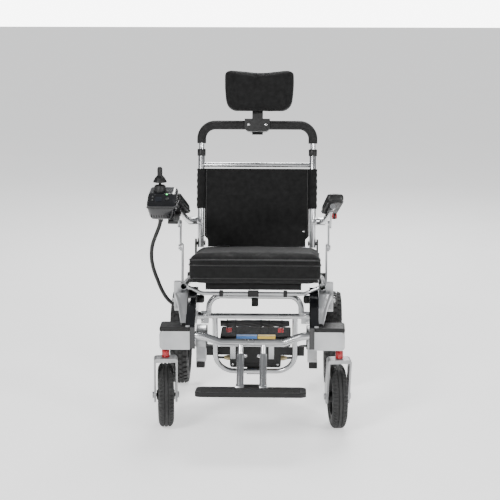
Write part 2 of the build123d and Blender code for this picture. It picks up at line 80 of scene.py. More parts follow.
def back(x, y, z):
    """A point of the backrest, up from its hinge along the tubes."""
    a, b, c = turned(RECLINE, x, y, z)
    return BACK_HINGE + Vector((a, b, c)) * MM


BACK_FORWARD = back(0, -1, 0) - back(0, 0, 0)


# materials ------------------------------------------------------------------


class Surface:
    """A procedural material: one shader fed by textures in the object's own metres."""

    def __init__(self, name, rough, metal=0.0):
        self.material = bpy.data.materials.new(name)
        self.material.use_nodes = True
        self.tree = self.material.node_tree
        self.shader = self.tree.nodes["Principled BSDF"]
        self.shader.inputs["Metallic"].default_value = metal
        self.shader.inputs["Roughness"].default_value = rough
        self.place = self.tree.nodes.new("ShaderNodeTexCoord").outputs["Object"]
        self.normal = None

    def link(self, a, b):
        self.tree.links.new(a, b)

    def noise(self, scale, detail=4.0, stretch=(1, 1, 1)):
        shape = self.tree.nodes.new("ShaderNodeMapping")
        shape.inputs["Scale"].default_value = stretch
        self.link(self.place, shape.inputs["Vector"])
        node = self.tree.nodes.new("ShaderNodeTexNoise")
        node.inputs["Scale"].default_value = scale
        node.inputs["Detail"].default_value = detail
        self.link(shape.outputs["Vector"], node.inputs["Vector"])
        return node.outputs["Fac"]

    def cells(self, scale):
        node = self.tree.nodes.new("ShaderNodeTexVoronoi")
        node.inputs["Scale"].default_value = scale
        self.link(self.place, node.inputs["Vector"])
        return node.outputs["Distance"]

    def threads(self, axis, pitch, tilt=0.0):
        """Ridges of one set of threads, pitch metres apart."""
        shape = self.tree.nodes.new("ShaderNodeMapping")
        shape.inputs["Rotation"].default_value = (0, tilt, 0)
        self.link(self.place, shape.inputs["Vector"])
        node = self.tree.nodes.new("ShaderNodeTexWave")
        node.bands_direction = axis
        node.inputs["Scale"].default_value = 0.314 / pitch
        node.inputs["Distortion"].default_value = 0.6
        node.inputs["Detail"].default_value = 1.0
        self.link(shape.outputs["Vector"], node.inputs["Vector"])
        return node.outputs["Fac"]

    def math(self, kind, a, b):
        node = self.tree.nodes.new("ShaderNodeMath")
        node.operation = kind
        for socket, value in zip(node.inputs, (a, b)):
            if isinstance(value, (int, float)):
                socket.default_value = value
            else:
                self.link(value, socket)
        return node.outputs[0]

    def ramp(self, source, stops):
        node = self.tree.nodes.new("ShaderNodeValToRGB")
        ramp = node.color_ramp
        while len(ramp.elements) < len(stops):
            ramp.elements.new(0.5)
        for element, (at, colour) in zip(ramp.elements, stops):
            element.position = at
            element.color = (*colour, 1)
        self.link(source, node.inputs["Fac"])
        return node.outputs["Color"]

    def colour(self, source, stops):
        self.link(self.ramp(source, stops), self.shader.inputs["Base Color"])

    def roughness(self, source, low, high):
        node = self.tree.nodes.new("ShaderNodeMapRange")
        node.inputs["From Min"].default_value = 0.3
        node.inputs["From Max"].default_value = 0.7
        node.inputs["To Min"].default_value = low
        node.inputs["To Max"].default_value = high
        self.link(source, node.inputs["Value"])
        self.link(node.outputs["Result"], self.shader.inputs["Roughness"])

    def bump(self, source, depth, strength=1.0):
        node = self.tree.nodes.new("ShaderNodeBump")
        node.inputs["Distance"].default_value = depth
        node.inputs["Strength"].default_value = strength
        self.link(source, node.inputs["Height"])
        if self.normal is not None:
            self.link(self.normal, node.inputs["Normal"])
        self.normal = node.outputs["Normal"]
        self.link(self.normal, self.shader.inputs["Normal"])

    def set(self, **values):
        for name, value in values.items():
            socket = name.replace("_", " ").title().replace("Ior", "IOR")
            self.shader.inputs[socket].default_value = value
        return self.material


def grey(value, tint=(1, 1, 1)):
    return tuple(value * t for t in tint)


def anodised():
    """Satin silver tube: fine drawn streaks and a faint cloudiness."""
    s = Surface("silver_tube", 0.26, 1.0)
    cloud = s.noise(9, 3)
    s.colour(cloud, [(0.3, (0.46, 0.465, 0.475)), (0.7, (0.6, 0.605, 0.61))])
    s.roughness(s.noise(12, 3), 0.24, 0.33)
    s.bump(s.noise(2400, 2, (0.1, 1, 1)), 0.000006, 0.35)
    return s.material


def cast_silver():
    """Silver paint on castings and plates, slightly grained."""
    s = Surface("silver_casting", 0.38, 0.75)
    s.colour(s.noise(14, 4), [(0.3, (0.4, 0.405, 0.415)), (0.7, (0.53, 0.535, 0.54))])
    s.roughness(s.noise(20, 4), 0.3, 0.42)
    s.bump(s.noise(1600, 2), 0.00001, 0.5)
    return s.material


def fork_metal():
    s = Surface("fork_metal", 0.4, 0.7)
    s.colour(s.noise(18, 5), [(0.3, (0.3, 0.305, 0.31)), (0.7, (0.42, 0.42, 0.425))])
    s.roughness(s.noise(70, 6), 0.3, 0.5)
    s.bump(s.noise(1300, 2), 0.00004, 0.6)
    return s.material


def bright_steel():
    s = Surface("bolt", 0.18, 1.0)
    s.colour(s.noise(30, 4), [(0.3, (0.62, 0.62, 0.63)), (0.7, (0.8, 0.8, 0.8))])
    s.roughness(s.noise(200, 4), 0.12, 0.3)
    s.bump(s.noise(2500, 2), 0.00002, 0.5)
    return s.material


def gloss_black(name="black_gloss", tint=(0.9, 0.95, 1.15)):
    s = Surface(name, 0.16)
    s.colour(s.noise(25, 3), [(0.3, grey(0.003, tint)), (0.7, grey(0.007, tint))])
    s.roughness(s.noise(90, 6), 0.1, 0.24)
    s.bump(s.noise(45, 2), 0.00012, 0.25)
    return s.set(coat_weight=0.5, coat_roughness=0.08)


def moulded_black(name="black_plastic", base=0.007, rough=(0.42, 0.6), shine=0.35):
    """Matt moulded plastic with a fine spark-eroded grain."""
    s = Surface(name, 0.5)
    s.colour(s.noise(20, 4), [(0.3, grey(base * 0.75)), (0.7, grey(base * 1.35))])
    s.roughness(s.noise(120, 5), *rough)
    s.bump(s.cells(2200), 0.00008, 0.7)
    return s.set(specular_ior_level=shine)


def powder_coat():
    s = Surface("black_metal", 0.4, 0.1)
    s.colour(s.noise(22, 4), [(0.3, grey(0.006)), (0.7, grey(0.012))])
    s.roughness(s.noise(150, 5), 0.32, 0.5)
    s.bump(s.noise(2600, 3), 0.00008, 0.7)
    return s.material


def red_gloss():
    s = Surface("red_trim", 0.22)
    s.colour(s.noise(60, 3), [(0.3, (0.26, 0.006, 0.01)), (0.7, (0.40, 0.012, 0.016))])
    s.roughness(s.noise(150, 4), 0.16, 0.32)
    s.bump(s.noise(900, 2), 0.00004, 0.5)
    return s.set(coat_weight=0.3, coat_roughness=0.1)


def woven(name="seat_fabric", base=0.0036, pitch=0.0011, tilt=0.0, sheen=0.06):
    """Black woven cloth: crossed threads, fuzz and slow wear in the colour."""
    s = Surface(name, 0.8)
    warp = s.threads("X", pitch, tilt)
    weft = s.threads("Z", pitch, tilt)
    weave = s.math("MULTIPLY", warp, weft)
    wear = s.noise(16, 5)
    both = s.math("ADD", s.math("MULTIPLY", weave, 0.45), s.math("MULTIPLY", wear, 0.55))
    s.colour(both, [(0.2, grey(base * 0.7)), (0.75, grey(base * 1.5, (1, 1, 1.03)))])
    s.roughness(s.noise(70, 4), 0.68, 0.88)
    s.bump(weave, 0.0003, 0.7)
    s.bump(s.noise(24, 3), 0.0012, 0.35)
    return s.set(sheen_weight=sheen, sheen_roughness=0.45, specular_ior_level=0.25)


def stitched_vinyl():
    """Black leathercloth of the armrest pads."""
    s = Surface("pad_vinyl", 0.42)
    s.colour(s.noise(30, 5), [(0.3, grey(0.005)), (0.7, grey(0.010))])
    s.roughness(s.noise(80, 5), 0.32, 0.5)
    s.bump(s.cells(700), 0.00025, 0.6)
    s.bump(s.noise(40, 2), 0.0005, 0.3)
    return s.material


def foam_black():
    s = Surface("foam", 0.75)
    s.colour(s.noise(45, 5), [(0.3, grey(0.006)), (0.7, grey(0.012))])
    s.roughness(s.noise(110, 4), 0.6, 0.82)
    s.bump(s.cells(1500), 0.0002, 0.8)
    s.bump(s.noise(60, 3), 0.0006, 0.4)
    return s.set(sheen_weight=0.05, sheen_roughness=0.5, specular_ior_level=0.3)


def tyre_rubber():
    s = Surface("tyre", 0.7)
    dust = s.noise(28, 6)
    s.colour(dust, [(0.3, grey(0.008)), (0.75, grey(0.019, (1.0, 0.99, 0.97)))])
    s.roughness(s.noise(90, 5), 0.55, 0.8)
    s.bump(s.noise(1100, 3), 0.00015, 0.8)
    return s.material


def soft_rubber(name="rubber", base=0.008):
    s = Surface(name, 0.55)
    s.colour(s.noise(35, 5), [(0.3, grey(base * 0.8)), (0.7, grey(base * 1.3))])
    s.roughness(s.noise(120, 4), 0.42, 0.62)
    s.bump(s.noise(1500, 2), 0.00008, 0.6)
    return s.material


def printed(name, colour):
    """A blank printed label: a flat film with slight print mottle."""
    s = Surface(name, 0.35)
    s.colour(s.noise(160, 5), [(0.3, tuple(c * 0.85 for c in colour)), (0.7, colour)])
    s.roughness(s.noise(90, 3), 0.28, 0.45)
    s.bump(s.noise(700, 2), 0.00005, 0.5)
    return s.material


def dark_glass():
    s = Surface("display", 0.06)
    s.colour(s.noise(60, 2), [(0.3, (0.006, 0.007, 0.010)), (0.7, (0.012, 0.014, 0.02))])
    s.roughness(s.noise(120, 3), 0.04, 0.12)
    return s.set(coat_weight=0.6, coat_roughness=0.03)


def lamp_green():
    s = Surface("lamp", 0.3)
    s.colour(s.noise(300, 2), [(0.3, (0.05, 0.5, 0.12)), (0.7, (0.1, 0.7, 0.2))])
    s.shader.inputs["Emission Color"].default_value = (0.1, 1.0, 0.25, 1)
    s.shader.inputs["Emission Strength"].default_value = 2.5
    return s.material


MATERIALS = {
    "silver_tube": anodised(),
    "silver_casting": cast_silver(),
    "fork_metal": fork_metal(),
    "bolt": bright_steel(),
    "black_gloss": gloss_black(),
    "black_plastic": moulded_black(),
    "black_metal": powder_coat(),
    "red_trim": red_gloss(),
    "seat_fabric": woven(),
    "foam": foam_black(),
    "tyre": tyre_rubber(),
    "rubber": soft_rubber(),
    "cable": soft_rubber("cable", 0.007),
    "battery": moulded_black("battery", 0.004, (0.6, 0.8), 0.1),
    "display": dark_glass(),
}
VINYL = stitched_vinyl()
WEBBING = woven("webbing", 0.008, 0.0016, radians(45), 0.05)
LABEL_BLUE = printed("label_blue", (0.05, 0.17, 0.45))
LABEL_YELLOW = printed("label_yellow", (0.62, 0.42, 0.05))
GLAND_CREAM = printed("gland_cream", (0.55, 0.45, 0.25))
LAMP = lamp_green()


# mesh helpers ---------------------------------------------------------------


def add(name, mesh, body, slot, material=None, smooth=True):
    """Put a mesh or curve into the scene on its body, in its slot's material unless given another."""
    piece = bpy.data.objects.new(name, mesh)
    bpy.context.scene.collection.objects.link(piece)
    mesh.materials.append(material or MATERIALS[slot])
    if smooth and isinstance(mesh, bpy.types.Mesh):
        mesh.shade_smooth()
    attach(piece, body)
    return piece


def mesh_of(name, points, faces):
    mesh = bpy.data.meshes.new(name)
    mesh.from_pydata([tuple(p) for p in points], [], faces)
    mesh.validate()
    return mesh


def grid_faces(rows, columns, wrap_rows=False, wrap_columns=False):
    faces = []
    for i in range(rows if wrap_rows else rows - 1):
        for j in range(columns if wrap_columns else columns - 1):
            a, b = i, (i + 1) % rows
            c, d = j, (j + 1) % columns
            faces.append((a * columns + c, a * columns + d, b * columns + d, b * columns + c))
    return faces


def lathe(name, profile, centre, axis, steps=96):
    """A body turned about an axis, from (along, radius) points in millimetres."""
    axis = Vector(axis).normalized()
    side = axis.orthogonal().normalized()
    up = axis.cross(side)
    points = []
    for i in range(steps):
        angle = 2 * pi * i / steps
        out = side * cos(angle) + up * sin(angle)
        points += [centre + axis * (a * MM) + out * (r * MM) for a, r in profile]
    mesh = mesh_of(name, points, grid_faces(steps, len(profile), wrap_rows=True))
    if profile[0] == profile[-1]:
        weld(mesh, WELD)
    return mesh


def weld(mesh, distance):
    work = bmesh.new()
    work.from_mesh(mesh)
    bmesh.ops.remove_doubles(work, verts=work.verts, dist=distance)
    bmesh.ops.recalc_face_normals(work, faces=work.faces)
    work.to_mesh(mesh)
    work.free()


def soft_block(name, half, radius, place, shape=None, cuts=22):
    """A rounded block of half sizes in millimetres, shaped and then placed in the chair."""
    work = bmesh.new()
    bmesh.ops.create_cube(work, size=2.0)
    bmesh.ops.subdivide_edges(work, edges=work.edges, cuts=cuts, use_grid_fill=True)
    for v in work.verts:
        p = Vector(v.co[k] * half[k] for k in range(3))
        core = Vector(max(-(half[k] - radius), min(half[k] - radius, p[k])) for k in range(3))
        away = p - core
        p = core + away.normalized() * radius if away.length > 1e-6 else p
        p = shape(p) if shape else p
        v.co = place(*p)
    bmesh.ops.recalc_face_normals(work, faces=work.faces)
    mesh = bpy.data.meshes.new(name)
    work.to_mesh(mesh)
    work.free()
    return mesh


def tube_curve(name, points, radius, smooth=True, sides=6):
    """A round rope or piping along points."""
    curve = bpy.data.curves.new(name, "CURVE")
    curve.dimensions = "3D"
    curve.bevel_depth = radius * MM
    curve.bevel_resolution = sides
    curve.use_fill_caps = True
    spline = curve.splines.new("NURBS")
    spline.points.add(len(points) - 1)
    for target, point in zip(spline.points, points):
        target.co = (*point, 1)
    spline.order_u = 3 if smooth else 2
    spline.use_endpoint_u = True
    curve.resolution_u = 8
    return curve


def ring_curve(name, points, radius):
    """A closed round rope through points."""
    curve = bpy.data.curves.new(name, "CURVE")
    curve.dimensions = "3D"
    curve.bevel_depth = radius * MM
    curve.bevel_resolution = 4
    spline = curve.splines.new("NURBS")
    spline.points.add(len(points) - 1)
    for target, point in zip(spline.points, points):
        target.co = (*point, 1)
    spline.order_u = 3
    spline.use_cyclic_u = True
    curve.resolution_u = 3
    return curve


def rounded_outline(half_x, half_y, radius, per_corner=8):
    """A rounded rectangle's points, in millimetres, anticlockwise."""
    points = []
    for k, (sx, sy) in enumerate(((1, 1), (-1, 1), (-1, -1), (1, -1))):
        for i in range(per_corner + 1):
            angle = pi / 2 * (k + i / per_corner)
            x = sx * (half_x - radius) + radius * cos(angle)
            y = sy * (half_y - radius) + radius * sin(angle)
            points.append((x, y))
    return points


def evenly(points, gap):
    """The closed outline's points again, filled in so that none is further than gap apart."""
    out = []
    for (x0, y0), (x1, y1) in zip(points, points[1:] + points[:1]):
        count = max(1, int(sqrt((x1 - x0) ** 2 + (y1 - y0) ** 2) / gap))
        out += [(x0 + (x1 - x0) * i / count, y0 + (y1 - y0) * i / count) for i in range(count)]
    return out


def surface_tree(mesh):
    points = [v.co.copy() for v in mesh.vertices]
    return BVHTree.FromPolygons(points, [tuple(f.vertices) for f in mesh.polygons])


def solidify(piece, thickness):
    layer = piece.modifiers.new("thickness", "SOLIDIFY")
    layer.thickness = thickness * MM
    layer.offset = 0
    return layer


def subdivide_once(piece):
    smooth = piece.modifiers.new("smooth", "SUBSURF")
    smooth.levels = smooth.render_levels = 1


def round_edges(piece, width=0.8, angle=35):
    """Break a CAD part's sharp edges, which catch the light on the real one."""
    join = piece.modifiers.new("join", "WELD")
    join.merge_threshold = 0.00002
    bevel = piece.modifiers.new("edges", "BEVEL")
    bevel.width = width * MM
    bevel.segments = 2
    bevel.limit_method = "ANGLE"
    bevel.angle_limit = radians(angle)
    bevel.harden_normals = False


def inflate(mesh, voxel, cap, pressure=4.0, frames=20):
    """Blow a closed form up as cloth and hold each point within a cap."""
    piece = bpy.data.objects.new("inflating", mesh)
    bpy.context.scene.collection.objects.link(piece)
    bpy.context.view_layer.objects.active = piece
    remesh = piece.modifiers.new("remesh", "REMESH")
    remesh.mode = "VOXEL"
    remesh.voxel_size = voxel * MM
    bpy.ops.object.modifier_apply(modifier="remesh")
    start = [v.co.copy() for v in piece.data.vertices]
    cloth = piece.modifiers.new("cloth", "CLOTH")
    cloth.settings.use_pressure = True
    cloth.settings.uniform_pressure_force = pressure
    cloth.settings.effector_weights.gravity = 0
    cloth.settings.tension_stiffness = 12
    cloth.settings.bending_stiffness = 2.5
    cloth.point_cache.frame_start = 1
    cloth.point_cache.frame_end = frames
    for step in range(1, frames + 1):
        bpy.context.scene.frame_set(step)
    bpy.ops.object.modifier_apply(modifier="cloth")
    bpy.context.scene.frame_set(1)
    for v, was in zip(piece.data.vertices, start):
        move = v.co - was
        if move.length > cap * MM:
            v.co = was + move.normalized() * cap * MM
    shaped = piece.data
    bpy.data.objects.remove(piece)
    return shaped


def block(name, x, y, z, body, slot, place=chair, bevel=1.5, material=None):
    """A bevelled block between three pairs of limits in millimetres."""
    work = bmesh.new()
    bmesh.ops.create_cube(work, size=1.0)
    for v in work.verts:
        v.co = Vector((
            (x[0] + x[1]) / 2 + v.co.x * (x[1] - x[0]),
            (y[0] + y[1]) / 2 + v.co.y * (y[1] - y[0]),
            (z[0] + z[1]) / 2 + v.co.z * (z[1] - z[0]),
        ))
    bmesh.ops.bevel(work, geom=work.edges[:], offset=bevel, segments=3, profile=0.5, affect="EDGES")
    for v in work.verts:
        v.co = place(*v.co)
    bmesh.ops.recalc_face_normals(work, faces=work.faces)
    mesh = bpy.data.meshes.new(name)
    work.to_mesh(mesh)
    work.free()
    piece = add(name, mesh, body, slot, material)
    mesh.shade_flat()
    return piece


def screw(name, centre, axis, radius, height, body):
    """A button-head screw with a socket in it."""
    profile = [(0, 0), (0, radius), (height * 0.55, radius), (height, radius * 0.7)]
    profile += [(height, radius * 0.42), (height * 0.35, radius * 0.38), (height * 0.35, 0)]
    mesh = lathe(name, profile, centre, axis, 32)
    weld(mesh, WELD)
    return add(name, mesh, body, "bolt")


# CAD parts that stay ---------------------------------------------------------

SLOTS = {entry["node"]: entry["material_slot"] for entry in frame["record"]["subparts"]}
FINE = ("power_button", "joystick_stick", "joystick_gimbal", "controller_display")
SHARP = ("controller_case", "power_box", "battery_pack", "headrest_clamp")


def dress_cad():
    for name, node in frame["nodes"].items():
        node.data.materials.clear()
        node.data.materials.append(MATERIALS[SLOTS[name]])
        round_edges(node, 0.3 if name in FINE else 2.0 if name in SHARP else 0.8)


# soft goods ------------------------------------------------------------------


def make_cushion():
    """The seat cushion: crowned, pulled in between its corners, and piped round three times."""
    width, depth, thick = 430.0, 400.0, 80.0
    crown, waist = 6, 0.012
    middle = Vector((5, depth / 2, thick / 2))

    def crowned(p):
        u, v = p.x / (width / 2), p.y / (depth / 2)
        if p.z > 0:
            p.z += crown * (1 - u * u) * (1 - v * v)
            p.z += 1.2 * noise.noise(Vector((p.x, p.y, 0)) * 0.012)
        p.x *= 1 - waist * (1 - v * v)
        return p

    def place(x, y, z):
        return seat(x + middle.x, y + middle.y, z + middle.z + 3)

    half = (width / 2 - 4, depth / 2 - 5, thick / 2 + 1)
    mesh = soft_block("seat_cushion_cover", half, 21, place, crowned, 30)
    mesh = inflate(mesh, 6, 7)
    cover = add("seat_cushion_cover", mesh, "seat_frame", "seat_fabric")
    subdivide_once(cover)
    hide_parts("seat_cushion")
    tree = surface_tree(mesh)
    outline = evenly(rounded_outline(width / 2 - 8, depth / 2 - 8, 34, 8), 16)
    for k, height in enumerate((27, 11, -30)):
        rope = []
        for x, y in outline:
            out = Vector((x, y, 0)).normalized()
            start = place(x + out.x * 60, y + out.y * 60, height)
            aim = place(x, y, height) - start
            hit = tree.ray_cast(start, aim.normalized())[0]
            rope.append(hit if hit else place(x, y, height))
        piping = ring_curve(f"cushion_piping_{k}", rope, 2.6 if k < 2 else 1.8)
        add(f"cushion_piping_{k}", piping, "seat_frame", "seat_fabric", material=VINYL)


def make_sling():
    """The cloth stretched over the rails, its hem hanging under the front of the cushion."""
    wide, deep, hem_half, hem_rows = 406, 340, 150, 9
    columns, rows = 60, 50
    points = []
    for i in range(rows):
        for j in range(columns):
            u, v = j / (columns - 1), i / (rows - 1)
            x = -wide / 2 + wide * u
            sag = 1.6 * sin(pi * u) * sin(pi * v) + 0.5 * noise.noise(Vector((x, v * deep, 3)) * 0.02)
            points.append(seat(x, 60 + deep * v, -2.4 - sag))
    mesh = mesh_of("sling_cloth", points, grid_faces(rows, columns))
    cloth = add("sling_cloth", mesh, "seat_frame", "seat_fabric")
    solidify(cloth, CLOTH_THICK)
    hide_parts("seat_sling")
    points = []
    for i in range(hem_rows):
        for j in range(columns):
            x = -hem_half + 2 * hem_half * j / (columns - 1)
            drop = 24 * i / 8
            ripple = 1.3 * sin(x * 0.07) * i / 8 + 0.8 * noise.noise(Vector((x, drop, 9)) * 0.04)
            points.append(seat(x, 58.5 + ripple, -1.5 - drop))
    hem = mesh_of("sling_hem", points, grid_faces(hem_rows, columns))
    hem = add("sling_hem", hem, "seat_frame", "seat_fabric", material=WEBBING)
    solidify(hem, CLOTH_THICK)


def make_backrest():
    """The backrest cloth between the tubes, with a loose wavy sleeve round each tube."""
    columns, rows, around = 90, 66, 40
    points = []
    for i in range(rows):
        for j in range(columns):
            u, v = j / (columns - 1), i / (rows - 1)
            up = -12 + 261 * v
            half = 174 - 11 * min(1, max(0, (24 - up) / 12))
            x = -half + 2 * half * u
            belly = 1.6 * sin(pi * u) + 1.1 * noise.noise(Vector((x, up, 5)) * 0.018)
            fold = 0.9 * sin(up * 0.09 + 1.7) * max(0, abs(2 * u - 1) - 0.6)
            points.append(back(x, -0.6 - belly + fold, up))
    mesh = mesh_of("back_cloth", points, grid_faces(rows, columns))
    cloth = add("back_cloth", mesh, "backrest", "seat_fabric")
    solidify(cloth, 2 * CLOTH_THICK)
    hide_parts("backrest_fabric")
    pieces = []
    for side, name in ((-1, "right"), (1, "left")):
        points = []
        for i in range(rows):
            up = 116 + 132 * i / (rows - 1)
            puff = 1.1 * noise.noise(Vector((side * 40, up, 2)) * 0.045) + 0.7 * sin(up * 0.31)
            for j in range(around):
                angle = 2 * pi * j / around
                radius = 13.9 + max(-1.0, puff) * (0.55 + 0.45 * side * cos(angle))
                points.append(back(side * BACK_X + radius * cos(angle), radius * sin(angle), up))
        sleeve = mesh_of("sleeve", points, grid_faces(rows, around, wrap_columns=True))
        sleeve = add(f"back_sleeve_{name}", sleeve, "backrest", "seat_fabric")
        solidify(sleeve, CLOTH_THICK)
        seam = [back(side * 169, -3.4, 20 + 228 * i / 20) for i in range(21)]
        seam = tube_curve("seam", seam, 1.3)
        seam = add(f"back_seam_{name}", seam, "backrest", "seat_fabric", material=VINYL)
        pieces += [sleeve, seam]
    for k, (up, half) in enumerate(((-10, 161), (247, 172))):
        hem = [back(-half + half * i / 12, -2.4 - 1.6 * sin(pi * i / 24), up) for i in range(25)]
        hem = tube_curve("hem", hem, 2.0)
        pieces.append(add(f"back_hem_{k}", hem, "backrest", "seat_fabric", material=WEBBING))
    stud = screw("back_stud", back(157, -3.5, 40), BACK_FORWARD, 4.5, 3, "backrest")


def make_headrest():
    """The headrest pad: wide and slightly dished at the top, drawn in below to rounded corners."""
    half_x, half_z, stem_gap = 121.0, 72.0, 42
    top_corner, bottom_corner = 20, 44
    middle = HANDLE_TOP + stem_gap + half_z

    def shaped(p):
        t = (p.z + half_z) / (2 * half_z)
        u = p.x / half_x
        inset = 0
        for depth, radius in ((p.z + half_z, bottom_corner), (half_z - p.z, top_corner)):
            near = radius - max(0, min(depth, radius))
            inset += radius - sqrt(radius * radius - near * near)
        p.x *= (1 - inset / half_x) * (1 - 0.075 * (1 - t))
        p.z += -4.5 * (1 - u * u) * t * t + 3.0 * (1 - t) * (1 - u * u)
        p.y += -4 * (1 - u * u) * (0.5 if p.y < 0 else 0)
        return p

    def place(x, y, z):
        return back(x + 6, y - 6, z + middle)

    mesh = soft_block("headrest_cushion", (half_x - 3, 21, half_z - 3), 16, place, shaped, 26)
    mesh = inflate(mesh, 4, 5)
    pad = add("headrest_cushion", mesh, "headrest", "seat_fabric")
    subdivide_once(pad)
    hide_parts("headrest_pad")
    tree = surface_tree(mesh)
    ring = []
    for x, z in evenly(rounded_outline(108, 62, 38, 8), 9):
        out = Vector((x, 0, z)).normalized()
        start = place(x + out.x * 70, 11, z + out.z * 70)
        hit = tree.ray_cast(start, (place(0, 11, 0) - start).normalized())[0]
        if hit:
            ring.append(hit)
    piping = ring_curve("headrest_piping", ring, 2.0)
    add("headrest_piping", piping, "headrest", "seat_fabric", material=VINYL)


def make_arm_pad(side, name):
    """A padded armrest top on a thin moulded base."""
    middle_x, middle_y, middle_z = 247, 253, 647
    half_x, half_y, half_z, lift = 27, 113, 12.5, 16.5
    yaw = radians(4.3)

    def place(x, y, z):
        a, b = x * cos(yaw) - y * sin(yaw), x * sin(yaw) + y * cos(yaw)
        a, b, c = turned(ARM_TILT, a, b, z)
        return chair(side * (middle_x + a), middle_y + b, middle_z + c)

    def shaped(p):
        v = p.y / 115
        p.x *= 1 - 0.14 * v * v if v > 0 else 1
        if p.z > 0:
            p.z += 2.2 * (1 - (p.x / 29) ** 2)
        return p

    def lifted(x, y, z):
        return place(x, y, z + lift)

    mesh = soft_block("pad", (half_x, half_y, half_z), 9, lifted, shaped, 20)
    mesh = inflate(mesh, 4, 3)
    pad = add(f"arm_cushion_{name}", mesh, f"arm_{name}", "seat_fabric", material=VINYL)
    subdivide_once(pad)
    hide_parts(f"arm_pad_{name}")
    base = rounded_outline(24.5, 110, 18, 8)
    points = [place(x, y, 1) for x, y in base] + [place(x * 1.06, y * 1.01, 5.5) for x, y in base]
    count = len(base)
    faces = [tuple(range(count))[::-1], tuple(range(count, 2 * count))]
    faces += [(i, (i + 1) % count, count + (i + 1) % count, count + i) for i in range(count)]
    mesh = mesh_of("base", points, faces)
    add(f"arm_base_{name}", mesh, f"arm_{name}", "black_plastic", smooth=False)
    ring = [place(x * 1.08, y * 1.012, 7) for x, y in evenly(base, 8)]
    add(f"arm_seam_{name}", ring_curve("arm_seam", ring, 1.4), f"arm_{name}", "seat_fabric", material=VINYL)


def make_belt():
    """The lap belt folded along the rear of the seat, with its buckle."""
    width, droop, columns = 22, -0.4, 7

    def ribbon(name, line):
        points = []
        for x, y, z in line:
            for k in range(columns):
                across = (k / (columns - 1) - 0.5) * width
                points.append(seat(x, y + across, z + droop * abs(k - 3) / 3))
        mesh = mesh_of(name, points, grid_faces(len(line), columns))
        piece = add(name, mesh, "seat_frame", "seat_fabric", material=WEBBING)
        solidify(piece, CLOTH_THICK)
        return piece

    line = []
    for i in range(61):
        line.append((-150 + 300 * i / 60, 386 + 2.5 * sin(i * 0.33), 84.6 + 0.7 * sin(i * 0.5)))
    strap = ribbon("belt_strap", line)
    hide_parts("lap_belt")
    loop = []
    for i in range(25):
        loop.append((-70 + 34 * sin(i / 24 * pi), 388, 86.5 + 3.4 * (i / 24) + 1.2 * sin(i * 0.6)))
    fold = ribbon("belt_fold", loop)
    body, slot = "seat_frame", "black_plastic"
    shell = block("buckle_shell", (-130, -88), (368, 392), (87, 94.5), body, slot, seat, 2.4)
    tongue = block("buckle_tongue", (-89, -67), (371, 389), (88, 92), body, slot, seat, 1.2)
    press = block("buckle_press", (-118, -104), (374, 386), (93.4, 95.6), body, "rubber", seat, 0.7)


# cords -----------------------------------------------------------------------

CONTROLLER_ROUTE = [
    (-290, 96, 657), (-290, 96, 630), (-304, 102, 594), (-320, 112, 554),
    (-324, 126, 508), (-317, 141, 466), (-306, 156, 430), (-296, 168, 398),
    (-281, 180, 367), (-262, 190, 346), (-240, 196, 336), (-219.2, 196, 336),
]
MOTOR_ROUTE = [
    (96, 330, 130), (112, 330, 130), (126, 338, 129), (134, 352, 127), (136, 382, 122),
    (134, 412, 121), (130, 444, 128), (138, 458, 132), (152, 466, 135), (168, 466, 135),
]


def make_cords():
    """The hand control's lead and the two motor leads, with their sleeves and glands."""
    route = [chair(*p) for p in CONTROLLER_ROUTE]
    lead = tube_curve("controller_lead", route, 6.0)
    lead = add("controller_lead", lead, "arm_right", "cable")
    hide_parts("controller_cable")
    boot = lathe("boot", [(-2, 0), (-2, 10), (10, 9.4), (24, 7.2), (24, 0)], route[0], (0, 0, -1), 32)
    boot = add("controller_boot", boot, "arm_right", "rubber")
    profile = [(-14, 0), (-14, 9), (0, 9), (3, 7), (3, 0)]
    socket = lathe("socket", profile, chair(-221, 196, 336), (-1, 0, 0), 32)
    add("lead_socket", socket, "rear_frame", "black_plastic")
    for side, name in ((1, "left"), (-1, "right")):
        route = [chair(side * x, y, z) for x, y, z in MOTOR_ROUTE]
        lead = tube_curve("motor_lead", route, 4.0)
        lead = add(f"motor_lead_{name}", lead, "rear_frame", "cable")
        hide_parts(f"motor_cable_{name}")
        profile = [(-12, 0), (-12, 10), (-3, 10), (0, 8.5), (8, 6), (8, 0)]
        gland = lathe("gland", profile, route[0], (side, 0, 0), 6)
        gland = add(f"cable_gland_{name}", gland, "rear_frame", "cable", material=GLAND_CREAM, smooth=False)


